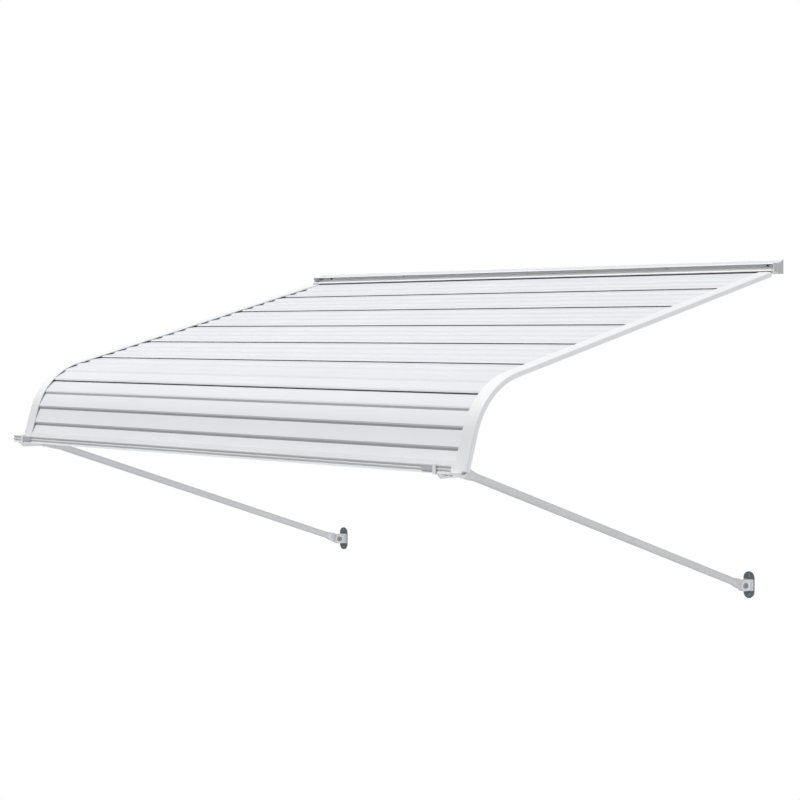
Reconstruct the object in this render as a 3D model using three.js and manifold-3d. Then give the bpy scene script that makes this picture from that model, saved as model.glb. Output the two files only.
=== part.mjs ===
// Door canopy: ribbed panels hooked together on a bent frame, hinged to a wall rail, held by two arms.
// Millimetres, +Z up, +Y into the wall, +X to the right when facing the wall.
// The origin is the middle of the wall rail's back face.
import * as THREE from 'three';
import { mergeVertices, toCreasedNormals } from 'three/addons/utils/BufferGeometryUtils.js';
import Module from 'manifold-3d';

const wasm = await Module();
wasm.setup();

// Overall frame
const OVERALL_WIDTH = 1524;
const FIT = 0.3;
const ARC_STEP = 7;

// Curve of the roof, measured along the top face from the edge of the first panel
const EDGE_FROM_WALL = 38;
const EDGE_DROP = 13;
const TOP_SLOPE = 14.96;
const FRONT_SLOPE = 73.36;
const BEND_RADIUS = 156.7;
const STRAIGHT_RUN = 779;

// Ribbed panels
const PANEL_COUNT = 7;
const RIBS_PER_PANEL = 4;
const RIB_PITCH = 36.7;
const FASCIA_PITCH = 39.7;
const FIRST_PANEL = 122;
const LAST_FLAT = 30;
const SHEET = 0.8;
const RIB_DEPTH = 3.8;
const RIB_RAMP = 7;
const RIB_BREAK = 4;
const RIB_BREAK_DEPTH = 1;
const JOINT_EDGE = 2.2;
const JOINT_GAP = 1.6;
const HOOK_LEG = 9;
const HOOK_FOOT = 3.2;
const HOOK_REACH = 14;
const HOOK_FOLD = 3.6;

// Side rails
const RAIL_FLANGE = 32;
const RAIL_WALL = 2.2;
const RAIL_SHELF = 20;
const RAIL_CORNER = 3.5;
const RAIL_START = 3;
const RAIL_FOOT = 9;

// Wall rail, its hood and its socket
const LEAF_HEIGHT = 30;
const LEAF_THICK = 2.5;
const HOOD_WALL = 2;
const HOOD_FALL = 7.4;
const HOOD_CURVE = 22;
const HOOD_BACK = 5;
const CAP_RAKE = 3;
const SOCKET_OFFSET = 13;
const SOCKET_DROP = 6;
const BEAD_RADIUS = 4.2;
const BEAD_CLEARANCE = 0.4;
const SOCKET_WALL = 2;
const SOCKET_WEB = 9;
const LIFT_ANGLE = 25;
const MOUTH_MARGIN = 20;

// Hinge bar
const BAR_WALL = 2.4;
const NOSE_RADIUS = 2.3;
const NOSE_RISE = 4.7;
const NOSE_BACK = 2.5;
const WEB_BACK = 4.5;
const HINGE_FLANGE = 12;

// Front bar
const BAR_END_INSET = 10;
const BAR_SHEET = 1.6;
const SLOT_DEPTH = 10;
const TROUGH_DROP = 11;
const TROUGH_REACH = 32;
const FACE_HEIGHT = 16;
const LIP_DEPTH = 3;
const TOP_LIP = 2;
const BOTTOM_LIP = 3.8;
const LIP_BEVEL = 2.2;
const FACE_BEAD = 2;

// Clips and collars on the front bar
const CLIP_SHEET = 0.7;
const CLIP_WIDTH = 32;
const COLLAR_WIDTH = 8;
const COLLAR_WALL = 1.4;
const COLLAR_FROM_END = 36;
const COLLAR_HOOK = 6;

// Arms
const ARM_TUBE = 15.9;
const ARM_WALL = 1.2;
const ARM_FLAT_HEIGHT = 22;
const ARM_FLAT_THICK = 4;
const ARM_FLAT_RUN = 18;
const ARM_TAPER = 24;
const FRONT_PIVOT_FROM_END = 38;
const FRONT_PIVOT_BACK = 28.3;
const FRONT_PIVOT_RISE = 0.8;
const ARM_TOE_IN = 38;
const WALL_PIVOT_DROP = 681;
const WALL_PIVOT_OUT = 22;

// Corner brackets
const CORNER_PLATE = 3;
const CORNER_EYE = 13;
const CORNER_SKIRT = 9.5;
const CORNER_CHAMFER = 8;
const CORNER_FLANGE = 2.5;
const CORNER_FLANGE_WIDTH = 25;
const CORNER_FLANGE_RUN = 18;

// Bolts
const BOLT = 6;
const BOLT_CLEARANCE = 0.4;
const BOLT_HEAD = 12;
const BOLT_HEAD_THICK = 4;
const NUT = 11;
const NUT_THICK = 5;
const BOLT_TAIL = 2;

// Wall brackets
const PLATE_WIDTH = 28;
const PLATE_HEIGHT = 58;
const PLATE_THICK = 3;
const SCREW_SPACING = 40;
const SCREW_HOLE = 5.5;
const SADDLE_WALL = 3;
const SADDLE_HEIGHT = 24;
const SADDLE_PLAY = 0.4;

const EDGE = { y: -EDGE_FROM_WALL, z: -EDGE_DROP };
const HALF_WIDTH = OVERALL_WIDTH / 2;
const PANEL_HALF = HALF_WIDTH - RAIL_WALL - FIT;
const PANEL_PITCH = RIB_PITCH * RIBS_PER_PANEL;
const FASCIA_LENGTH = FASCIA_PITCH * (RIBS_PER_PANEL - 1) + LAST_FLAT;
const ROOF_LENGTH = FIRST_PANEL + PANEL_PITCH * (PANEL_COUNT - 2) + FASCIA_LENGTH;
const slopeTop = THREE.MathUtils.degToRad(TOP_SLOPE);
const slopeFront = THREE.MathUtils.degToRad(FRONT_SLOPE);
const bendEnd = STRAIGHT_RUN + BEND_RADIUS * (slopeFront - slopeTop);

// Depths below the top face of the layers of one panel joint
const midFlat = SHEET / 2;
const midBreak = midFlat + RIB_BREAK_DEPTH;
const midValley = midFlat + RIB_DEPTH;
const midEdge = THREE.MathUtils.lerp(midValley, midBreak, JOINT_EDGE / RIB_BREAK);
const midFloor = midEdge + SHEET + JOINT_GAP;
const midFoot = midFloor - SHEET - FIT;
const midFold = midFoot - SHEET - FIT;
const slotFloor = midFloor + SHEET / 2 + FIT;

// Slope of the roof at a length along it
function slopeAt(s) {
  const turn = (s - STRAIGHT_RUN) / BEND_RADIUS;
  return THREE.MathUtils.clamp(slopeTop + turn, slopeTop, slopeFront);
}

// Point of the roof at a length along it and a depth below its top face, as (y, z)
function roof(s, depth) {
  const a = slopeAt(s);
  const straight = Math.min(s, STRAIGHT_RUN);
  let y = EDGE.y - straight * Math.cos(slopeTop);
  let z = EDGE.z - straight * Math.sin(slopeTop);
  y += BEND_RADIUS * (Math.sin(slopeTop) - Math.sin(a));
  z -= BEND_RADIUS * (Math.cos(slopeTop) - Math.cos(a));
  const beyond = Math.max(s - bendEnd, 0);
  y -= beyond * Math.cos(slopeFront);
  z -= beyond * Math.sin(slopeFront);
  return new THREE.Vector2(y + depth * Math.sin(a), z - depth * Math.cos(a));
}

// Closed outline of a bent strip of one thickness about a line of points
function strip(points, thickness) {
  const left = [];
  const right = [];
  points.forEach((p, i) => {
    const before = i > 0 ? p.clone().sub(points[i - 1]).normalize() : null;
    const after = i < points.length - 1 ? points[i + 1].clone().sub(p).normalize() : null;
    const d0 = before ?? after;
    const d1 = after ?? before;
    const n0 = new THREE.Vector2(-d0.y, d0.x);
    const n1 = new THREE.Vector2(-d1.y, d1.x);
    const middle = n0.clone().add(n1).normalize();
    const reach = thickness / 2 / middle.dot(n0);
    left.push(p.clone().addScaledVector(middle, reach));
    right.push(p.clone().addScaledVector(middle, -reach));
  });
  return left.concat(right.reverse());
}

// Points along an arc, angles in degrees
function arc(cx, cy, radius, from, to, pieces) {
  const points = [];
  for (let i = 0; i <= pieces; i += 1) {
    const a = THREE.MathUtils.degToRad(from + ((to - from) * i) / pieces);
    points.push(new THREE.Vector2(cx + radius * Math.cos(a), cy + radius * Math.sin(a)));
  }
  return points;
}

// Solid of a (y, z) outline between two places along X
function prism(outline, x0, x1) {
  const settings = { depth: x1 - x0, bevelEnabled: false };
  const geometry = new THREE.ExtrudeGeometry(new THREE.Shape(outline), settings);
  const along = new THREE.Vector3(1, 0, 0);
  const turn = new THREE.Matrix4().makeBasis(new THREE.Vector3(0, 1, 0), new THREE.Vector3(0, 0, 1), along);
  geometry.applyMatrix4(turn);
  geometry.translate(x0, 0, 0);
  return geometry;
}

// Round bar along X
function rod(y, z, radius, x0, x1, sides = 24) {
  return prism(arc(y, z, radius, 0, 360 - 360 / sides, sides - 1), x0, x1);
}

// Bare positions with shared corners, faces pointing out
function bare(geometry) {
  const plain = new THREE.BufferGeometry();
  plain.setAttribute('position', geometry.getAttribute('position').clone());
  if (geometry.getIndex()) {
    plain.setIndex(geometry.getIndex().clone());
  }
  const merged = mergeVertices(plain, 1e-4);
  const index = merged.getIndex().array;
  const a = new THREE.Vector3();
  const b = new THREE.Vector3();
  const c = new THREE.Vector3();
  const position = merged.getAttribute('position');
  let volume = 0;
  for (let i = 0; i < index.length; i += 3) {
    a.fromBufferAttribute(position, index[i]);
    b.fromBufferAttribute(position, index[i + 1]);
    c.fromBufferAttribute(position, index[i + 2]);
    volume += a.dot(b.cross(c));
  }
  if (volume < 0) {
    for (let i = 0; i < index.length; i += 3) {
      const kept = index[i + 1];
      index[i + 1] = index[i + 2];
      index[i + 2] = kept;
    }
  }
  return merged;
}

function solid(geometry) {
  const clean = bare(geometry);
  const vertProperties = new Float32Array(clean.getAttribute('position').array);
  const triVerts = new Uint32Array(clean.getIndex().array);
  return new wasm.Manifold(new wasm.Mesh({ numProp: 3, vertProperties, triVerts }));
}

function shape(body) {
  const mesh = body.getMesh();
  const geometry = new THREE.BufferGeometry();
  const count = mesh.vertProperties.length / mesh.numProp;
  const position = new Float32Array(count * 3);
  for (let i = 0; i < count; i += 1) {
    for (let k = 0; k < 3; k += 1) {
      position[i * 3 + k] = mesh.vertProperties[i * mesh.numProp + k];
    }
  }
  geometry.setAttribute('position', new THREE.BufferAttribute(position, 3));
  geometry.setIndex(new THREE.BufferAttribute(new Uint32Array(mesh.triVerts), 1));
  return geometry;
}

function join(...geometries) {
  return shape(geometries.map(solid).reduce((whole, piece) => whole.add(piece)));
}

function cut(geometry, ...tools) {
  return shape(tools.map(solid).reduce((whole, tool) => whole.subtract(tool), solid(geometry)));
}

// Mirror image across the middle plane
function mirrored(geometry) {
  const copy = bare(geometry);
  copy.scale(-1, 1, 1);
  return bare(copy);
}

const canopy = new THREE.Group();

function add(name, geometry, color, roughness, metalness) {
  const material = new THREE.MeshStandardMaterial({ color, roughness, metalness });
  const mesh = new THREE.Mesh(toCreasedNormals(bare(geometry), 0.6), material);
  mesh.name = name;
  canopy.add(mesh);
}

function addPair(name, right, color, roughness, metalness) {
  add(`${name}_right`, right, color, roughness, metalness);
  add(`${name}_left`, mirrored(right), color, roughness, metalness);
}

const WHITE = 0xe9ebee;
const FRAME_WHITE = 0xf4f5f6;
const GREY = 0x8d9298;
const PALE_GREY = 0xc3cad3;
const STEEL = 0xb4b8bc;

// Outline laid along the roof, with extra points where the roof bends
function alongRoof(outline) {
  const bent = [];
  outline.forEach((p, i) => {
    const q = outline[(i + 1) % outline.length];
    const low = Math.max(Math.min(p.x, q.x), STRAIGHT_RUN);
    const high = Math.min(Math.max(p.x, q.x), bendEnd);
    const pieces = Math.max(1, Math.ceil((high - low) / ARC_STEP));
    for (let k = 0; k < pieces; k += 1) {
      const t = k / pieces;
      bent.push(roof(p.x + (q.x - p.x) * t, p.y + (q.y - p.y) * t));
    }
  });
  return bent;
}

// One ribbed panel: a fold that catches the hook of the panel above, then flats that rise to each rib
// and fall away in a ramp that steepens
function panelLine(start, end, ribs, folded, edged) {
  const line = [];
  const at = (s, depth) => line.push(new THREE.Vector2(s, depth));
  if (folded) {
    at(start - HOOK_REACH + HOOK_FOLD, midFold);
    at(start - HOOK_REACH, midFold);
    at(start - HOOK_REACH, midFloor);
    at(start - JOINT_EDGE, midFloor);
  } else {
    at(start, midFlat);
  }
  ribs.forEach((s) => {
    at(s - RIB_RAMP, midFlat);
    at(s - RIB_BREAK, midBreak);
    at(s, midValley);
  });
  if (edged) {
    at(end - RIB_RAMP, midFlat);
    at(end - RIB_BREAK, midBreak);
    at(end - JOINT_EDGE, midEdge);
  } else {
    at(end - SLOT_DEPTH - FIT, midFlat);
    at(end, midFlat);
  }
  return line;
}

// Hook under the lower edge of a panel, set back behind the ramp
function hookLine(end) {
  const tilt = (HOOK_LEG - RIB_RAMP) / (RIB_PITCH - RIB_RAMP);
  return [
    new THREE.Vector2(end - HOOK_LEG, midFlat + RIB_DEPTH * tilt),
    new THREE.Vector2(end - HOOK_LEG, midFoot),
    new THREE.Vector2(end - HOOK_LEG - HOOK_FOOT, midFoot),
  ];
}

function panelPrism(line) {
  return prism(alongRoof(strip(line, SHEET)), -PANEL_HALF, PANEL_HALF);
}

for (let i = 0; i < PANEL_COUNT; i += 1) {
  const last = i === PANEL_COUNT - 1;
  const start = i === 0 ? 0 : FIRST_PANEL + PANEL_PITCH * (i - 1);
  const end = last ? ROOF_LENGTH : FIRST_PANEL + PANEL_PITCH * i;
  const pitch = last ? FASCIA_PITCH : RIB_PITCH;
  const ribs = [];
  for (let k = 1; k < RIBS_PER_PANEL; k += 1) {
    const s = last ? start + pitch * k : end - pitch * (RIBS_PER_PANEL - k);
    if (s - RIB_RAMP > start + HINGE_FLANGE) {
      ribs.push(s);
    }
  }
  const sheet = panelPrism(panelLine(start, end, ribs, i > 0, !last));
  add(`panel_${i + 1}`, last ? sheet : join(sheet, panelPrism(hookLine(end))), WHITE, 0.45, 0.05);
}

// Side rail: an open section carried along the roof
const railTop = -FIT - RAIL_WALL;
const railEnd = ROOF_LENGTH + RAIL_FOOT;

function railSection() {
  const corner = arc(RAIL_CORNER, railTop + RAIL_CORNER, RAIL_CORNER, 180, 270, 4);
  const inside = [
    [RAIL_FLANGE, railTop],
    [RAIL_FLANGE, -FIT],
    [RAIL_WALL, -FIT],
    [RAIL_WALL, slotFloor],
    [RAIL_SHELF, slotFloor],
    [RAIL_SHELF, slotFloor + RAIL_WALL],
    [0, slotFloor + RAIL_WALL],
  ];
  return corner.concat(inside.map(([x, depth]) => new THREE.Vector2(x, depth)));
}

function railStations() {
  const stations = [RAIL_START];
  const pieces = Math.ceil((bendEnd - STRAIGHT_RUN) / ARC_STEP / 1.5);
  for (let i = 0; i <= pieces; i += 1) {
    const s = STRAIGHT_RUN + ((bendEnd - STRAIGHT_RUN) * i) / pieces;
    if (s > RAIL_START && s < railEnd) {
      stations.push(s);
    }
  }
  stations.push(railEnd);
  return stations;
}

function sweep(section, stations) {
  const position = [];
  const index = [];
  const n = section.length;
  stations.forEach((s) => {
    section.forEach((p) => {
      const q = roof(s, p.y);
      position.push(HALF_WIDTH - p.x, q.x, q.y);
    });
  });
  for (let j = 0; j < stations.length - 1; j += 1) {
    for (let i = 0; i < n; i += 1) {
      const a = j * n + i;
      const b = j * n + ((i + 1) % n);
      index.push(a, b, a + n, b, b + n, a + n);
    }
  }
  const lastRing = (stations.length - 1) * n;
  THREE.ShapeUtils.triangulateShape(section, []).forEach(([a, b, c]) => {
    index.push(a, c, b);
    index.push(lastRing + a, lastRing + b, lastRing + c);
  });
  const geometry = new THREE.BufferGeometry();
  geometry.setAttribute('position', new THREE.Float32BufferAttribute(position, 3));
  geometry.setIndex(index);
  return geometry;
}

addPair('side_rail', sweep(railSection(), railStations()), FRAME_WHITE, 0.4, 0.05);

// Wall rail: a flat leaf, a hood over the hinge, a round socket that is open to the front, and closed ends
const socket = new THREE.Vector2(-SOCKET_OFFSET, -SOCKET_DROP);
const nose = new THREE.Vector2(EDGE.y + NOSE_BACK, EDGE.z + NOSE_RISE);
const socketInner = BEAD_RADIUS + BEAD_CLEARANCE;
const socketOuter = socketInner + SOCKET_WALL;
const neckAngle = THREE.MathUtils.radToDeg(nose.clone().sub(socket).angle());
const mouthTop = neckAngle - LIFT_ANGLE - MOUTH_MARGIN;
const mouthBottom = neckAngle + MOUTH_MARGIN;
const socketOutline = arc(socket.x, socket.y, socketOuter, mouthBottom, mouthTop + 360, 22).concat(
  arc(socket.x, socket.y, socketInner, mouthTop + 360, mouthBottom, 22),
);
const leaf = [
  new THREE.Vector2(-LEAF_THICK, -LEAF_HEIGHT / 2),
  new THREE.Vector2(0, -LEAF_HEIGHT / 2),
  new THREE.Vector2(0, LEAF_HEIGHT / 2),
  new THREE.Vector2(-LEAF_THICK, LEAF_HEIGHT / 2),
];
const webFront = socket.x + socketInner + SOCKET_WALL / 2;
const webLine = [new THREE.Vector2(webFront, socket.y), new THREE.Vector2(-LEAF_THICK / 2, socket.y)];
const hoodHeight = LEAF_HEIGHT / 2 - HOOD_WALL / 2 - HOOD_FALL;
const hoodRun = HOOD_CURVE - LEAF_THICK / 2;
const hoodRadius = (hoodRun ** 2 + HOOD_FALL ** 2) / (2 * HOOD_FALL);
const hoodTurn = THREE.MathUtils.radToDeg(Math.asin(hoodRun / hoodRadius));
const hoodLine = arc(-HOOD_CURVE, hoodHeight + hoodRadius, hoodRadius, hoodTurn - 90, -90, 8).concat([
  new THREE.Vector2(EDGE.y + HOOD_BACK, hoodHeight),
]);
const capOutline = hoodLine.concat([
  new THREE.Vector2(EDGE.y + HOOD_BACK + CAP_RAKE, socket.y),
  new THREE.Vector2(socket.x, socket.y - socketOuter),
  new THREE.Vector2(-LEAF_THICK / 2, -LEAF_HEIGHT / 2),
]);
const wallRail = join(
  prism(leaf, -HALF_WIDTH, HALF_WIDTH),
  prism(strip(hoodLine, HOOD_WALL), -HALF_WIDTH, HALF_WIDTH),
  prism(strip(webLine, SOCKET_WEB), -HALF_WIDTH, HALF_WIDTH),
  prism(socketOutline, -HALF_WIDTH, HALF_WIDTH),
  prism(capOutline, PANEL_HALF + FIT, HALF_WIDTH),
  prism(capOutline, -HALF_WIDTH, -PANEL_HALF - FIT),
);
add('wall_rail', wallRail, FRAME_WHITE, 0.4, 0.05);

// Hinge bar: the bead in the socket, a neck, a nose over the edge of the first panel and a flange under it
const flangeDepth = SHEET + FIT + BAR_WALL / 2;
const flangeEnd = roof(HINGE_FLANGE, flangeDepth);
const webTop = nose.clone().lerp(socket, WEB_BACK / (socket.x - nose.x));
const flangeLength = (flangeEnd.x - webTop.x) / -Math.cos(slopeTop);
const flangeRoot = roof(HINGE_FLANGE - flangeLength, flangeDepth);
const hingeLine = [webTop, flangeRoot, flangeEnd];
const hingeBar = join(
  rod(socket.x, socket.y, BEAD_RADIUS, -PANEL_HALF, PANEL_HALF),
  prism(strip([socket, nose], BAR_WALL), -PANEL_HALF, PANEL_HALF),
  rod(nose.x, nose.y, NOSE_RADIUS, -PANEL_HALF, PANEL_HALF, 18),
  prism(strip(hingeLine, BAR_WALL), -PANEL_HALF, PANEL_HALF),
);
add('hinge_bar', hingeBar, FRAME_WHITE, 0.4, 0.05);

// Front bar: a slot for the edge of the last panel, a trough and a grooved face, notched for the side rails
const end = roof(ROOF_LENGTH, 0);
const slotFront = -FIT - BAR_SHEET / 2;
const slotRear = SHEET + FIT + BAR_SHEET / 2;
const slotBottom = ROOF_LENGTH + FIT + BAR_SHEET / 2;
const slotLine = [
  roof(ROOF_LENGTH - SLOT_DEPTH, slotRear),
  roof(slotBottom, slotRear),
  roof(slotBottom, slotFront),
  roof(ROOF_LENGTH - SLOT_DEPTH, slotFront),
];
const floorMid = end.y - TROUGH_DROP;
const faceMid = end.x - TROUGH_REACH;
const faceTop = floorMid - BAR_SHEET / 2 + FACE_HEIGHT;
const faceBottom = floorMid - BAR_SHEET / 2;
const troughLine = [
  roof(slotBottom, 0),
  new THREE.Vector2(roof(slotBottom, 0).x - TROUGH_DROP / 2, floorMid),
  new THREE.Vector2(faceMid, floorMid),
  new THREE.Vector2(faceMid, faceTop),
];
const faceFront = faceMid - BAR_SHEET / 2 - LIP_DEPTH;
const topLipMid = faceTop - TOP_LIP / 2;
const topLip = [new THREE.Vector2(faceMid, topLipMid), new THREE.Vector2(faceFront, topLipMid)];
const bottomLip = [
  new THREE.Vector2(faceMid, faceBottom),
  new THREE.Vector2(faceMid, faceBottom + BOTTOM_LIP),
  new THREE.Vector2(faceFront + LIP_BEVEL, faceBottom + BOTTOM_LIP),
  new THREE.Vector2(faceFront, faceBottom),
];
const beadHeight = (faceTop - TOP_LIP + faceBottom + BOTTOM_LIP) / 2 - FACE_BEAD / 4;
const barHalf = HALF_WIDTH - BAR_END_INSET;
const notchTop = ROOF_LENGTH - SLOT_DEPTH - BAR_SHEET;
const notchOutline = [
  roof(notchTop, railTop - FIT),
  roof(railEnd + FIT, railTop - FIT),
  roof(railEnd + FIT, slotFloor + RAIL_WALL),
  roof(notchTop, slotFloor + RAIL_WALL),
];
const notch = prism(notchOutline, HALF_WIDTH - RAIL_FLANGE - FIT, HALF_WIDTH);
const frontBar = cut(
  join(
    prism(strip(slotLine, BAR_SHEET), -barHalf, barHalf),
    prism(strip(troughLine, BAR_SHEET), -barHalf, barHalf),
    prism(strip(topLip, TOP_LIP), -barHalf, barHalf),
    prism(bottomLip, -barHalf, barHalf),
    rod(faceMid - BAR_SHEET / 2, beadHeight, FACE_BEAD, -barHalf, barHalf, 16),
  ),
  notch,
  mirrored(notch),
);
add('front_bar', frontBar, FRAME_WHITE, 0.4, 0.05);

// Collar snapped over the front bar's face, and a clip that lies in the groove beside it
const collarOut = FIT + COLLAR_WALL / 2;
const collarLine = [
  new THREE.Vector2(faceFront + COLLAR_HOOK, faceTop + collarOut),
  new THREE.Vector2(faceFront - collarOut, faceTop + collarOut),
  new THREE.Vector2(faceFront - collarOut, faceBottom - collarOut),
  new THREE.Vector2(faceFront + COLLAR_HOOK, faceBottom - collarOut),
];
const collarEnd = barHalf - COLLAR_FROM_END;
const collarStart = collarEnd - COLLAR_WIDTH;
addPair('bar_collar', prism(strip(collarLine, COLLAR_WALL), collarStart, collarEnd), FRAME_WHITE, 0.4, 0.05);
const clipMid = faceFront + CLIP_SHEET / 2;
const clipLine = [
  new THREE.Vector2(clipMid, faceBottom + BOTTOM_LIP + FIT),
  new THREE.Vector2(clipMid, faceTop - TOP_LIP - FIT),
];
const barClip = prism(strip(clipLine, CLIP_SHEET), collarStart - CLIP_WIDTH, collarStart);
addPair('bar_clip', barClip, PALE_GREY, 0.45, 0.1);

// Arm: from the front pivot to the wall pivot, in an upright plane that toes in towards the wall
const frontHalf = barHalf - FRONT_PIVOT_FROM_END;
const wallHalf = frontHalf - ARM_TOE_IN;
const frontPivot = new THREE.Vector3(frontHalf, end.x + FRONT_PIVOT_BACK, faceBottom + FRONT_PIVOT_RISE);
const wallPivot = new THREE.Vector3(wallHalf, -WALL_PIVOT_OUT, -WALL_PIVOT_DROP);
const armLine = wallPivot.clone().sub(frontPivot);
const armLength = armLine.length();
const up = new THREE.Vector3(0, 0, 1);
const inward = new THREE.Vector3(armLine.x, armLine.y, 0).normalize();
const pivotAxis = inward.clone().cross(up).normalize();
const armAlong = armLine.clone().normalize();
const armAcross = armAlong.clone().cross(pivotAxis).negate();
const armFrame = new THREE.Matrix4().makeBasis(pivotAxis, armAlong, armAcross).setPosition(frontPivot);
const frontFrame = new THREE.Matrix4().makeBasis(pivotAxis, inward, up).setPosition(frontPivot);
const wallFrame = new THREE.Matrix4().makeBasis(pivotAxis, inward, up).setPosition(wallPivot);

// Half sizes of the tube along its length: flat and rounded at the ends, round between
function armHalf(t) {
  const fromEnd = Math.min(t, armLength - t);
  const flat = { thick: ARM_FLAT_THICK / 2, tall: ARM_FLAT_HEIGHT / 2, power: 4 };
  if (fromEnd < 0) {
    flat.tall = Math.sqrt(Math.max((ARM_FLAT_HEIGHT / 2) ** 2 - fromEnd ** 2, 0));
    return flat;
  }
  const k = THREE.MathUtils.smoothstep(fromEnd, ARM_FLAT_RUN, ARM_FLAT_RUN + ARM_TAPER);
  return {
    thick: THREE.MathUtils.lerp(flat.thick, ARM_TUBE / 2, k),
    tall: THREE.MathUtils.lerp(flat.tall, ARM_TUBE / 2, k),
    power: THREE.MathUtils.lerp(flat.power, 2, k),
  };
}

function armRing(t, inset) {
  const half = armHalf(t);
  const ring = [];
  const sides = 24;
  for (let i = 0; i < sides; i += 1) {
    const a = ((i + 0.5) / sides) * 2 * Math.PI;
    const x = Math.sign(Math.cos(a)) * Math.abs(Math.cos(a)) ** (2 / half.power) * (half.thick - inset);
    const z = Math.sign(Math.sin(a)) * Math.abs(Math.sin(a)) ** (2 / half.power) * (half.tall - inset);
    ring.push(new THREE.Vector3(x, t, z));
  }
  return ring;
}

function armTube() {
  const tip = [-0.92, -0.75, -0.45, 0].map((k) => (k * ARM_FLAT_HEIGHT) / 2);
  const taper = [0, 0.25, 0.5, 0.75, 1].map((k) => ARM_FLAT_RUN + k * ARM_TAPER);
  const near = tip.concat(taper);
  const places = near.concat(near.map((t) => armLength - t).reverse());
  const inner = [...places].reverse().map((t) => armRing(t, ARM_WALL));
  const rings = places.map((t) => armRing(t, 0)).concat(inner);
  const n = rings[0].length;
  const position = rings.flatMap((ring) => ring.flatMap((p) => [p.x, p.y, p.z]));
  const index = [];
  rings.forEach((ring, j) => {
    const next = (j + 1) % rings.length;
    for (let i = 0; i < n; i += 1) {
      const a = j * n + i;
      const b = j * n + ((i + 1) % n);
      const c = next * n + i;
      const d = next * n + ((i + 1) % n);
      index.push(a, b, c, b, d, c);
    }
  });
  const geometry = new THREE.BufferGeometry();
  geometry.setAttribute('position', new THREE.Float32BufferAttribute(position, 3));
  geometry.setIndex(index);
  return geometry;
}

const pivotHole = (BOLT + BOLT_CLEARANCE) / 2;
const holeReach = ARM_TUBE;
const arm = cut(
  armTube(),
  rod(0, 0, pivotHole, -holeReach, holeReach, 20),
  rod(armLength, 0, pivotHole, -holeReach, holeReach, 20),
);
arm.applyMatrix4(armFrame);
addPair('arm', arm, FRAME_WHITE, 0.4, 0.05);

// Corner bracket: a plate outside the arm's front end and a flange under the front bar
const plateNear = ARM_FLAT_THICK / 2 + FIT;
const plateFar = plateNear + CORNER_PLATE;
const plateTop = faceBottom - FIT - frontPivot.z;
const plateFront = faceFront - frontPivot.y;
const plateBottom = plateTop - CORNER_SKIRT;
const eyeTop = 180 - THREE.MathUtils.radToDeg(Math.asin(plateTop / CORNER_EYE));
const eyeBottom = 180 - THREE.MathUtils.radToDeg(Math.asin(plateBottom / CORNER_EYE));
const cornerOutline = arc(0, 0, CORNER_EYE, eyeTop, eyeBottom - 360, 20).concat([
  new THREE.Vector2(plateFront + CORNER_CHAMFER, plateBottom),
  new THREE.Vector2(plateFront, plateBottom + CORNER_CHAMFER),
  new THREE.Vector2(plateFront, plateTop),
]);
const flangeFront = faceFront + COLLAR_HOOK + FIT - frontPivot.y + CORNER_FLANGE;
const cornerFlange = [
  new THREE.Vector2(flangeFront, plateTop - CORNER_FLANGE / 2),
  new THREE.Vector2(flangeFront + CORNER_FLANGE_RUN, plateTop - CORNER_FLANGE / 2),
];
const corner = cut(
  join(
    prism(cornerOutline, plateNear, plateFar),
    prism(strip(cornerFlange, CORNER_FLANGE), plateNear + CORNER_PLATE / 2, plateNear + CORNER_FLANGE_WIDTH),
  ),
  rod(0, 0, pivotHole, -holeReach, holeReach, 20),
);
corner.applyMatrix4(frontFrame);
addPair('corner_bracket', corner, FRAME_WHITE, 0.4, 0.05);

// Bolt with its nut, along the pivot between two faces
function bolt(inner, outer) {
  const head = rod(0, 0, BOLT_HEAD / 2, outer + FIT, outer + FIT + BOLT_HEAD_THICK, 24);
  const nut = rod(0, 0, NUT / Math.sqrt(3), inner - FIT - NUT_THICK, inner - FIT, 6);
  const tail = inner - FIT - NUT_THICK - BOLT_TAIL;
  const shank = rod(0, 0, BOLT / 2, tail, outer + FIT + BOLT_HEAD_THICK / 2, 20);
  return join(shank, head, nut);
}
const frontBolt = bolt(-ARM_FLAT_THICK / 2, plateFar);
frontBolt.applyMatrix4(frontFrame);
addPair('front_bolt', frontBolt, STEEL, 0.35, 0.9);

const earNear = ARM_FLAT_THICK / 2 + SADDLE_PLAY;
const earFar = earNear + SADDLE_WALL;
const wallBolt = bolt(-earFar, earFar);
wallBolt.applyMatrix4(wallFrame);
addPair('wall_bolt', wallBolt, STEEL, 0.35, 0.9);

// Saddle: two ears on a base, over the arm's wall end
const baseBack = WALL_PIVOT_OUT - PLATE_THICK - FIT - SADDLE_PLAY;
const earOutline = arc(0, 0, SADDLE_HEIGHT / 2, 90, 270, 16).concat([
  new THREE.Vector2(baseBack, -SADDLE_HEIGHT / 2),
  new THREE.Vector2(baseBack, SADDLE_HEIGHT / 2),
]);
const saddleHollow = [
  new THREE.Vector2(-SADDLE_HEIGHT, 0),
  new THREE.Vector2(baseBack - SADDLE_WALL, 0),
];
const saddle = cut(
  prism(earOutline, -earFar, earFar),
  prism(strip(saddleHollow, SADDLE_HEIGHT * 2), -earNear, earNear),
  rod(0, 0, pivotHole, -holeReach, holeReach, 20),
);
saddle.applyMatrix4(wallFrame);
addPair('wall_saddle', saddle, PALE_GREY, 0.4, 0.4);

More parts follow.
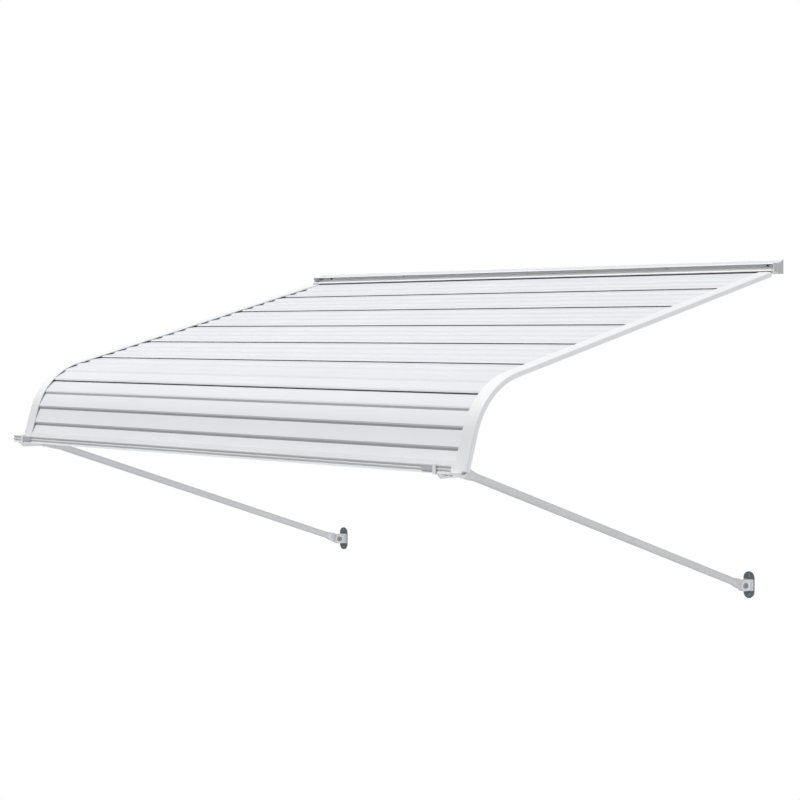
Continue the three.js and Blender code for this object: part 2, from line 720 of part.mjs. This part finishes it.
// Wall plate: an obround plate flat on the wall, with two screw holes
const plateStraight = (PLATE_HEIGHT - PLATE_WIDTH) / 2;
const plateOutline = new THREE.Shape();
plateOutline.absarc(0, plateStraight, PLATE_WIDTH / 2, 0, Math.PI, false);
plateOutline.absarc(0, -plateStraight, PLATE_WIDTH / 2, Math.PI, 2 * Math.PI, false);
for (const side of [-1, 1]) {
  const hole = new THREE.Path();
  hole.absarc(0, (side * SCREW_SPACING) / 2, SCREW_HOLE / 2, 0, 2 * Math.PI, true);
  plateOutline.holes.push(hole);
}
const wallPlate = new THREE.ExtrudeGeometry(plateOutline, {
  depth: PLATE_THICK,
  bevelEnabled: false,
  curveSegments: 12,
});
wallPlate.rotateX(Math.PI / 2);
wallPlate.translate(wallHalf, 0, -WALL_PIVOT_DROP);
addPair('wall_plate', wallPlate, GREY, 0.45, 0.6);

export default canopy;
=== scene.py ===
import math
import bmesh
import bpy
from mathutils import Matrix, Vector


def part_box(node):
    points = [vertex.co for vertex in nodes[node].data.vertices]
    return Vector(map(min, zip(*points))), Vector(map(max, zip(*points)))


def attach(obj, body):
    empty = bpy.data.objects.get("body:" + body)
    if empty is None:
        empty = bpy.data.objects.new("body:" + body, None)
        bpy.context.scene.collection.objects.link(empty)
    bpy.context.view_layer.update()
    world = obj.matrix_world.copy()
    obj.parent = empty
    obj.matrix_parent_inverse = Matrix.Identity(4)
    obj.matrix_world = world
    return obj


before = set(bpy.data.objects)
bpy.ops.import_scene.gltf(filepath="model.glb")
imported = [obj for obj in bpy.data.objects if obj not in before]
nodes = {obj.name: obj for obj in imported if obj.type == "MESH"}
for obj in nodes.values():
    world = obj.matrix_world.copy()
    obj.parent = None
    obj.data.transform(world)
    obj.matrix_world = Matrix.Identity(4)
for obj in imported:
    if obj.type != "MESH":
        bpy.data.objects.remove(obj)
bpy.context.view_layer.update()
scene = bpy.context.scene
scene.view_settings.view_transform = "Standard"
MM = 0.001
SIDES = {"left": -1, "right": 1}


# Camera at the photograph's viewing angle

CAMERA_PLACE = (3.4892, -3.5138, -0.1396)
AZIMUTH = 48.30
ELEVATION = 1.855
SENSOR_WIDTH = 36.0
FOCAL_PIXELS = 2069.0
IMAGE_PIXELS = 800.0
FAR_CLIP = 100.0

cam_data = bpy.data.cameras.new("camera")
cam_data.sensor_width = SENSOR_WIDTH
cam_data.lens = FOCAL_PIXELS * SENSOR_WIDTH / IMAGE_PIXELS
cam_data.clip_end = FAR_CLIP
cam = bpy.data.objects.new("camera", cam_data)
cam.location = CAMERA_PLACE
cam.rotation_euler = (math.radians(90 - ELEVATION), 0, math.radians(AZIMUTH))
scene.collection.objects.link(cam)
scene.camera = cam


# Shader helpers: each adds nodes to a tree (n its nodes, l its links) and returns an output

def coordinate(n, output):
    return n.new("ShaderNodeTexCoord").outputs[output]


def components(n, l, output):
    split = n.new("ShaderNodeSeparateXYZ")
    l.new(coordinate(n, output), split.inputs["Vector"])
    return split.outputs


def noise(n, l, scale, detail):
    tex = n.new("ShaderNodeTexNoise")
    tex.inputs["Scale"].default_value = scale
    tex.inputs["Detail"].default_value = detail
    l.new(coordinate(n, "Object"), tex.inputs["Vector"])
    return tex.outputs["Fac"]


def remap(n, l, source, given, wanted=(0.0, 1.0), kind="LINEAR"):
    node = n.new("ShaderNodeMapRange")
    node.interpolation_type = kind
    node.inputs["From Min"].default_value = given[0]
    node.inputs["From Max"].default_value = given[1]
    node.inputs["To Min"].default_value = wanted[0]
    node.inputs["To Max"].default_value = wanted[1]
    l.new(source, node.inputs["Value"])
    return node.outputs["Result"]


# Colour that goes from low to high over the middle of a noise
RAMP_START = 0.3
RAMP_END = 0.7


def ramp(n, l, source, low, high):
    node = n.new("ShaderNodeValToRGB")
    first, last = node.color_ramp.elements
    first.position = RAMP_START
    first.color = (*low, 1.0)
    last.position = RAMP_END
    last.color = (*high, 1.0)
    l.new(source, node.inputs["Fac"])
    return node.outputs["Color"]


def calc(n, l, operation, *values, clamp=False):
    node = n.new("ShaderNodeMath")
    node.operation = operation
    node.use_clamp = clamp
    for socket, value in zip(node.inputs, values):
        if isinstance(value, bpy.types.NodeSocket):
            l.new(value, socket)
        else:
            socket.default_value = value
    return node.outputs["Value"]


def overlay(n, l, amount, base, colour):
    mix = n.new("ShaderNodeMix")
    mix.data_type = "RGBA"
    l.new(amount, mix.inputs["Factor"])
    l.new(base, mix.inputs["A"])
    mix.inputs["B"].default_value = (*colour, 1.0)
    return mix.outputs["Result"]


# White surroundings for the camera, and a softer sky that lights the part from above

SKY_COLOUR = (0.985, 0.99, 1.0, 1.0)
WHITE_BACKDROP = (1.0, 1.0, 1.0, 1.0)
SKY_HEIGHT = (-0.5, 0.9)
SKY_STRENGTH = (0.34, 0.64)

world = bpy.data.worlds.new("studio")
scene.world = world
world.use_nodes = True
wn = world.node_tree.nodes
wl = world.node_tree.links
sky = wn["Background"]
sky.inputs["Color"].default_value = SKY_COLOUR
upward = components(wn, wl, "Generated")["Z"]
wl.new(remap(wn, wl, upward, SKY_HEIGHT, SKY_STRENGTH, "SMOOTHSTEP"), sky.inputs["Strength"])
backdrop = wn.new("ShaderNodeBackground")
backdrop.inputs["Color"].default_value = WHITE_BACKDROP
seen = wn.new("ShaderNodeLightPath")
blend = wn.new("ShaderNodeMixShader")
wl.new(seen.outputs["Is Camera Ray"], blend.inputs["Fac"])
wl.new(sky.outputs["Background"], blend.inputs[1])
wl.new(backdrop.outputs["Background"], blend.inputs[2])
wl.new(blend.outputs["Shader"], wn["World Output"].inputs["Surface"])


# Lights, in metres and watts: round ones, and a rectangle where a height is given

def area(name, where, at, size, power, height=0.0, spread=180):
    data = bpy.data.lights.new(name, "AREA")
    data.shape = "RECTANGLE" if height else "DISK"
    data.size = size
    if height:
        data.size_y = height
    data.spread = math.radians(spread)
    data.energy = power
    lamp = bpy.data.objects.new(name, data)
    lamp.location = where
    lamp.rotation_euler = (Vector(where) - Vector(at)).to_track_quat("Z", "Y").to_euler()
    scene.collection.objects.link(lamp)


area("key", where=(-0.8, -3.9, 5.3), at=(0, -0.5, -0.2), size=1.6, power=218)
area("side", where=(5.4, -1.0, -1.3), at=(0, -0.5, -0.4), size=2.4, power=60)
area("under", where=(0.3, 2.6, -1.9), at=(0, -0.4, -0.5), size=2.0, power=45)
# Narrow strip in front of the wall rail, a little above the cove under its hood
area("strip", where=(0, -2.3, 0.06), at=(0, 0, 0.015), size=2.0, power=0.048, height=0.02, spread=2)


# Materials. Each noise is given as its scale and its detail

COAT_IOR = 1.48
TINT_NOISE = (6.0, 3.0)
GLOSS_NOISE = (45.0, 4.0)
GLOSS_RANGE = 0.06
PEEL_DETAIL = 2.0
BUMP_DISTANCE = 0.0002
# Noise and range that vary the painted shade on front faces
SHADE_VARIATION_NOISE = (30.0, 5.0)
SHADE_VARIATION_RANGE = (0.85, 1.15)
FRONT_FACING = (0.0, -0.3)


def material(name):
    mat = bpy.data.materials.new(name)
    mat.use_nodes = True
    return mat, mat.node_tree.nodes, mat.node_tree.links


# Painted shade on faces that look to the front, growing as the normal's height goes from start to end,
# and varied a little by a noise
def painted_front_shade(n, l, unshaded, shade_colour, start, end):
    normal = components(n, l, "Normal")
    slope = remap(n, l, normal["Z"], (start, end), kind="SMOOTHSTEP")
    ahead = remap(n, l, normal["Y"], FRONT_FACING)
    shade_variation = remap(n, l, noise(n, l, *SHADE_VARIATION_NOISE), (0.0, 1.0), SHADE_VARIATION_RANGE)
    steep = calc(n, l, "MULTIPLY", slope, ahead)
    amount = calc(n, l, "MULTIPLY", steep, shade_variation, clamp=True)
    return overlay(n, l, amount, unshaded, shade_colour)


# Painted shade on the wall rail's end caps: faces past the ends of the hinge bar are given a grey
def painted_end_shade(n, l, plain, end_shade, reach):
    across = calc(n, l, "ABSOLUTE", components(n, l, "Object")["X"])
    outer = calc(n, l, "GREATER_THAN", across, reach)
    return overlay(n, l, outer, plain, end_shade)


# Coating with a faint change of tint and gloss and a fine peel in its surface; where asked, painted shade
# on front faces and on the wall rail's end caps
def coated(name, low, high, rough, metallic=0.0, peel=900.0, strength=0.015, shade_colour=None,
           start=0.30, end=-0.20, end_shade=None, reach=0.0):
    mat, n, l = material(name)
    shader = n["Principled BSDF"]
    shader.inputs["Metallic"].default_value = metallic
    shader.inputs["IOR"].default_value = COAT_IOR
    colour = ramp(n, l, noise(n, l, *TINT_NOISE), low, high)
    if shade_colour:
        colour = painted_front_shade(n, l, colour, shade_colour, start, end)
    if end_shade:
        colour = painted_end_shade(n, l, colour, end_shade, reach)
    l.new(colour, shader.inputs["Base Color"])
    gloss = (rough - GLOSS_RANGE, rough + GLOSS_RANGE)
    l.new(remap(n, l, noise(n, l, *GLOSS_NOISE), (0.0, 1.0), gloss), shader.inputs["Roughness"])
    bump = n.new("ShaderNodeBump")
    bump.inputs["Strength"].default_value = strength
    bump.inputs["Distance"].default_value = BUMP_DISTANCE
    l.new(noise(n, l, peel, PEEL_DETAIL), bump.inputs["Height"])
    l.new(bump.outputs["Normal"], shader.inputs["Normal"])
    return mat


WHITE = ((0.925, 0.93, 0.935), (0.945, 0.95, 0.955))
# Past the hinge bar's ends the wall rail's end caps get a grey, as painted shade
CAP_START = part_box("hinge_bar")[1][0]

# Painted shade: the panels' front faces that turn downward, the ramps of the ribs on the bend and front,
# get a dark grey
panel_mat = coated("panel_coating", (0.80, 0.81, 0.835), (0.82, 0.83, 0.855), rough=0.50,
                   shade_colour=(0.40, 0.405, 0.42))
frame_mat = coated("frame_coating", *WHITE, rough=0.45)
# Painted shade: the wall rail's front faces that turn upward, the top of its hood, are greyed a little
wall_mat = coated("wall_rail_coating", *WHITE, rough=0.45, shade_colour=(0.73, 0.735, 0.745), start=0.0, end=0.4,
                  end_shade=(0.60, 0.605, 0.615), reach=CAP_START)
# Painted shade: the side rails' steeper faces that look to the front are greyed a little
rail_mat = coated("rail_coating", *WHITE, rough=0.45, shade_colour=(0.82, 0.825, 0.835), start=0.80, end=0.15)
arm_mat = coated("arm_coating", (0.73, 0.735, 0.745), (0.77, 0.775, 0.785), rough=0.45)
bar_mat = coated("bar_coating", (0.80, 0.81, 0.82), (0.83, 0.84, 0.85), rough=0.45)
clip_mat = coated("clip_coating", (0.52, 0.54, 0.57), (0.57, 0.59, 0.62), rough=0.45)
saddle_mat = coated("saddle_zinc", (0.88, 0.91, 0.94), (0.92, 0.95, 0.97), rough=0.38)
plate_mat = coated("plate_zinc", (0.17, 0.185, 0.195), (0.25, 0.265, 0.275), rough=0.42, metallic=0.2)
steel_mat = coated("bolt_zinc", (0.40, 0.41, 0.42), (0.50, 0.51, 0.52), rough=0.32, metallic=0.85)
screw_mat = coated("screw_zinc", (0.30, 0.31, 0.32), (0.38, 0.39, 0.40), rough=0.35, metallic=0.85)
seal_mat = coated("seal_rubber", (0.020, 0.021, 0.023), (0.035, 0.036, 0.038), rough=0.75, peel=300.0,
                  strength=0.2)

# Material of each CAD node, by the start of its name
LOOKS = {
    "panel_": panel_mat,
    "side_rail": rail_mat,
    "wall_rail": wall_mat,
    "hinge_bar": frame_mat,
    "front_bar": bar_mat,
    "bar_collar": frame_mat,
    "bar_clip": clip_mat,
    "corner_bracket": frame_mat,
    "arm_": arm_mat,
    "wall_saddle": saddle_mat,
    "wall_plate": plate_mat,
    "front_bolt": steel_mat,
    "wall_bolt": steel_mat,
}
for name, obj in nodes.items():
    for prefix, mat in LOOKS.items():
        if name.startswith(prefix):
            obj.data.materials.clear()
            obj.data.materials.append(mat)


# Curve of the roof, as (y, z) in millimetres at a length along it and a depth below its top face

EDGE_Y = -38.0
EDGE_Z = -13.0
STRAIGHT = 779.0
BEND = 156.7
TOP = math.radians(14.96)
FRONT = math.radians(73.36)


def roof(s, depth):
    a = min(max(TOP + (s - STRAIGHT) / BEND, TOP), FRONT)
    run = min(s, STRAIGHT)
    y = EDGE_Y - run * math.cos(TOP) + BEND * (math.sin(TOP) - math.sin(a)) + depth * math.sin(a)
    z = EDGE_Z - run * math.sin(TOP) - BEND * (math.cos(TOP) - math.cos(a)) - depth * math.cos(a)
    return y, z


# Closed skin over rings of points, each ring joined to the next and the two end rings filled
def skin(name, rings, mat, body):
    mesh = bpy.data.meshes.new(name)
    bm = bmesh.new()
    loops = [[bm.verts.new(point) for point in ring] for ring in rings]
    for near, far in zip(loops, loops[1:]):
        for i in range(len(near)):
            j = (i + 1) % len(near)
            bm.faces.new((near[i], near[j], far[j], far[i]))
    bm.faces.new(list(reversed(loops[0])))
    bm.faces.new(loops[-1])
    bmesh.ops.recalc_face_normals(bm, faces=bm.faces)
    bm.to_mesh(mesh)
    bm.free()
    obj = bpy.data.objects.new(name, mesh)
    scene.collection.objects.link(obj)
    mesh.materials.append(mat)
    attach(obj, body)
    return obj


# Rubber seals, in millimetres: a half-round bead in each panel joint and a round one under the nose of
# the hinge bar

PANEL_HALF = 757.0
FIRST_JOINT = 122.0
JOINT_PITCH = 146.8
JOINTS = 6
SEAL_RADIUS = 1.35
SEAL_STEPS = 9
# Stretch of the last joint's seal, which widens it into a dark strip of painted shade
LAST_SEAL_SHADE_STRETCH = 1.9
# How far up the roof from the joint the middle of a seal lies, and where the panel's floor starts to rise
SEAL_BACK = 3.7
RISE_BACK = 2.2
# Depth of the panel's floor below the roof's top face, and its rise for each millimetre along the roof
PANEL_FLOOR_DEPTH = 4.62
PANEL_FLOOR_RISE = 0.13
HEADER_Y = -37.2
HEADER_Z = -11.5
HEADER_RADIUS = 1.5
HEADER_STEPS = 16
BEAD_SECTIONS = 8


# Bead of a radius along X, drawn from angle 0 to end, where place gives (y, z) for a point of its section
def bead(name, place, radius, end, steps):
    rings = []
    for k in range(BEAD_SECTIONS + 1):
        x = -PANEL_HALF + 2 * PANEL_HALF * k / BEAD_SECTIONS
        ring = []
        for i in range(steps):
            a = end * i / (steps - 1)
            y, z = place(radius * math.cos(a), radius * math.sin(a))
            ring.append((x * MM, y * MM, z * MM))
        rings.append(ring)
    skin(name, rings, seal_mat, "canopy")


# The seal lies on the lower panel's floor, which rises again near the joint's mouth
def seal_at(joint, stretch):
    def place(u, v):
        s = joint - SEAL_BACK - SEAL_RADIUS + stretch * (u + SEAL_RADIUS)
        rise = PANEL_FLOOR_RISE * max(0.0, s - (joint - RISE_BACK))
        return roof(s, PANEL_FLOOR_DEPTH - rise - v)
    return place


def header_at(u, v):
    return HEADER_Y + u, HEADER_Z + v


# The last joint is on the bend; its seal is stretched down the roof into a wider dark strip, partly a
# real seal and partly painted shade laid where the joint's ramp is in shade
for k in range(JOINTS):
    stretch = LAST_SEAL_SHADE_STRETCH if k == JOINTS - 1 else 1.0
    place = seal_at(FIRST_JOINT + JOINT_PITCH * k, stretch)
    bead(f"joint_seal_{k + 1}", place, SEAL_RADIUS, math.pi, SEAL_STEPS)
full_turn = 2 * math.pi * (HEADER_STEPS - 1) / HEADER_STEPS
bead("header_seal", header_at, HEADER_RADIUS, full_turn, HEADER_STEPS)


# Fastenings: small heads, each set on its part

HEAD_SIDES = 24
RIVET_SIDES = 16
DOME_STEPS = 6
TINY = 1e-6


# Turned head from a profile of (radius, height), set at a place and facing along an axis
def lathe(name, profile, where, axis, sides, mat):
    mesh = bpy.data.meshes.new(name)
    bm = bmesh.new()
    turns = [2 * math.pi * k / sides for k in range(sides)]
    rings = []
    for r, h in profile:
        if r < TINY:
            rings.append([bm.verts.new((0, 0, h))])
        else:
            rings.append([bm.verts.new((r * math.cos(a), r * math.sin(a), h)) for a in turns])
    for low, high in zip(rings, rings[1:]):
        for k in range(sides):
            j = (k + 1) % sides
            corners = [low[k % len(low)], low[j % len(low)], high[j % len(high)], high[k % len(high)]]
            bm.faces.new(list(dict.fromkeys(corners)))
    bm.normal_update()
    bm.to_mesh(mesh)
    bm.free()
    mesh.shade_smooth()
    mesh.materials.append(mat)
    obj = bpy.data.objects.new(name, mesh)
    facing = Vector(axis).to_track_quat("Z", "Y").to_matrix().to_4x4()
    obj.matrix_world = Matrix.Translation(where) @ facing
    scene.collection.objects.link(obj)
    return obj


# Profile of a domed head, with a short foot that sinks into the part
def dome(radius, height, foot):
    points = [(radius, -foot)]
    for k in range(DOME_STEPS):
        a = 0.5 * math.pi * k / DOME_STEPS
        points.append((radius * math.cos(a), height * math.sin(a)))
    points.append((0.0, height))
    return points


# Cross recess of a screw: two bars, as shares of the head's radius and height
RECESS_TURN = 0.35
RECESS_LENGTH = 1.1
RECESS_WIDTH = 0.26
RECESS_DEPTH = 1.2
SCREW_FOOT = 0.4 * MM


def recess_bar(name, head, turn, radius, height):
    mesh = bpy.data.meshes.new(name)
    bm = bmesh.new()
    bmesh.ops.create_cube(bm, size=1.0)
    size = Matrix.Diagonal((radius * RECESS_LENGTH, radius * RECESS_WIDTH, height * RECESS_DEPTH, 1.0))
    bm.transform(Matrix.Translation((0, 0, height)) @ Matrix.Rotation(turn, 4, "Z") @ size)
    bm.to_mesh(mesh)
    bm.free()
    bar = bpy.data.objects.new(name, mesh)
    bar.matrix_world = head.matrix_world
    scene.collection.objects.link(bar)
    return bar


# Screw with a domed head of (radius, height) in millimetres
def cross_screw(name, where, axis, head_size, mat, body):
    radius, height = (length * MM for length in head_size)
    head = lathe(name, dome(radius, height, SCREW_FOOT), where, axis, HEAD_SIDES, mat)
    bars = []
    for turn in (RECESS_TURN, RECESS_TURN + math.pi / 2):
        bars.append(recess_bar(name + "_recess", head, turn, radius, height))
    for bar in bars:
        cutter = head.modifiers.new("recess", "BOOLEAN")
        cutter.object = bar
        cutter.solver = "EXACT"
    bpy.context.view_layer.update()
    depsgraph = bpy.context.evaluated_depsgraph_get()
    carved = bpy.data.meshes.new_from_object(head.evaluated_get(depsgraph))
    head.modifiers.clear()
    head.data = carved
    for bar in bars:
        bpy.data.objects.remove(bar)
    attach(head, body)


# Screws that hold the wall rail, in its cove under the hood. The inner three are coated as the rail is
TO_FRONT = (0, -1, 0)
LEAF_FACE = -2.5 * MM
RAIL_SCREW_HEIGHT = 4.5 * MM
RAIL_SCREW_HEAD = (4.2, 2.4)
RAIL_SCREWS = (
    (-0.723, screw_mat),
    (-0.44, frame_mat),
    (0.0, frame_mat),
    (0.44, frame_mat),
    (0.723, screw_mat),
)
for k, (x, finish) in enumerate(RAIL_SCREWS):
    where = Vector((x, LEAF_FACE, RAIL_SCREW_HEIGHT))
    cross_screw(f"rail_screw_{k + 1}", where, TO_FRONT, RAIL_SCREW_HEAD, finish, "wall_rail")


# Rivets under the roof: along the hinge bar's flange and along the shelf of each side rail
RIVET_RADIUS = 3.2 * MM
RIVET_HEIGHT = 1.2 * MM
RIVET_FOOT = 0.2 * MM
HINGE_RIVETS = 9
HINGE_RIVET_PITCH = 0.17
HINGE_RIVET_ALONG = 7.0
HINGE_RIVET_DEPTH = 3.5
RAIL_RIVETS = 6
RAIL_RIVET_X = 0.751
RAIL_RIVET_START = 60.0
RAIL_RIVET_DEPTH = 7.96


# Rivet at x in metres, and at a length along the roof and a depth in millimetres
def rivet(name, x, s, depth):
    y, z = roof(s, depth)
    below = roof(s, depth + 1)
    profile = dome(RIVET_RADIUS, RIVET_HEIGHT, RIVET_FOOT)
    downward = (0, below[0] - y, below[1] - z)
    head = lathe(name, profile, Vector((x, y * MM, z * MM)), downward, RIVET_SIDES, frame_mat)
    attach(head, "canopy")


for k in range(HINGE_RIVETS):
    x = HINGE_RIVET_PITCH * (k - HINGE_RIVETS // 2)
    rivet(f"hinge_rivet_{k + 1}", x, HINGE_RIVET_ALONG, HINGE_RIVET_DEPTH)
for side, sign in SIDES.items():
    for k in range(RAIL_RIVETS):
        s = RAIL_RIVET_START + JOINT_PITCH * k
        rivet(f"rail_rivet_{side}_{k + 1}", sign * RAIL_RIVET_X, s, RAIL_RIVET_DEPTH)


# Screws under the corner brackets, in millimetres
CORNER_SCREW_X = (726, 738)
CORNER_SCREW_Y = -937.3
CORNER_SCREW_Z = -398.81
CORNER_SCREW_HEAD = (3.6, 2.0)
DOWN = (0, 0, -1)
for side, sign in SIDES.items():
    for k, x in enumerate(CORNER_SCREW_X):
        where = Vector((sign * x * MM, CORNER_SCREW_Y * MM, CORNER_SCREW_Z * MM))
        cross_screw(f"corner_screw_{side}_{k + 1}", where, DOWN, CORNER_SCREW_HEAD, screw_mat, "canopy")


# Middle of a wall plate's front face
def plate_face(side):
    low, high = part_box("wall_plate_" + side)
    return Vector((0.5 * (low[0] + high[0]), low[1], 0.5 * (low[2] + high[2])))


# Screws in the wall plates, above and below the saddle
PLATE_SCREW_STEP = 20 * MM
PLATE_SCREW_HEAD = (4.6, 2.6)
for side in SIDES:
    for end, step in (("upper", 1), ("lower", -1)):
        where = plate_face(side) + Vector((0, 0, step * PLATE_SCREW_STEP))
        name = f"plate_screw_{side}_{end}"
        cross_screw(name, where, TO_FRONT, PLATE_SCREW_HEAD, screw_mat, "wall_bracket_" + side)


# Foot of each saddle: a rounded sheet that lies across the middle of the wall plate
FOOT_WIDTH = 26.6 * MM
FOOT_HEIGHT = 25 * MM
FOOT_THICK = 1.4 * MM
FOOT_RADIUS = 3 * MM
FOOT_BEVEL = 0.5 * MM
FOOT_TURNS = 6


# Outline of the foot, at a distance out from the plate and with a corner radius
def foot_ring(where, out, radius):
    across = FOOT_WIDTH / 2 - FOOT_RADIUS
    upward = FOOT_HEIGHT / 2 - FOOT_RADIUS
    ring = []
    for corner, (right, up) in enumerate(((1, 1), (-1, 1), (-1, -1), (1, -1))):
        for i in range(FOOT_TURNS + 1):
            a = 0.5 * math.pi * (corner + i / FOOT_TURNS)
            x = right * across + radius * math.cos(a)
            z = up * upward + radius * math.sin(a)
            ring.append(where + Vector((x, -out, z)))
    return ring


for side in SIDES:
    where = plate_face(side)
    rings = [
        foot_ring(where, 0.0, FOOT_RADIUS),
        foot_ring(where, FOOT_THICK - FOOT_BEVEL, FOOT_RADIUS),
        foot_ring(where, FOOT_THICK, FOOT_RADIUS - FOOT_BEVEL),
    ]
    foot = skin(f"saddle_foot_{side}", rings, saddle_mat, "wall_bracket_" + side)


# Pale floor, well below the canopy, that fades out towards its rim
FLOOR_PLACE = (0, -0.5, -2.2)
FLOOR_RADIUS = 3.0
FLOOR_SIDES = 96
FLOOR_ROUGHNESS = 0.9
FLOOR_NOISE = (1.5, 3.0)
FLOOR_LOW = (0.80, 0.80, 0.80)
FLOOR_HIGH = (0.84, 0.84, 0.84)
FLOOR_FADE = (2.95, 0.6)
FLOOR_ALPHA = (0.0, 0.65)

bpy.ops.mesh.primitive_circle_add(
    vertices=FLOOR_SIDES, radius=FLOOR_RADIUS, fill_type="NGON", location=FLOOR_PLACE)
floor = bpy.context.object
floor.name = "floor"
floor_mat, fn, fl = material("floor_paint")
floor_shader = fn["Principled BSDF"]
floor_shader.inputs["Roughness"].default_value = FLOOR_ROUGHNESS
floor_tint = ramp(fn, fl, noise(fn, fl, *FLOOR_NOISE), FLOOR_LOW, FLOOR_HIGH)
fl.new(floor_tint, floor_shader.inputs["Base Color"])
from_middle = fn.new("ShaderNodeVectorMath")
from_middle.operation = "LENGTH"
fl.new(coordinate(fn, "Object"), from_middle.inputs[0])
fade = remap(fn, fl, from_middle.outputs["Value"], FLOOR_FADE, FLOOR_ALPHA, "SMOOTHSTEP")
fl.new(fade, floor_shader.inputs["Alpha"])
floor.data.materials.append(floor_mat)
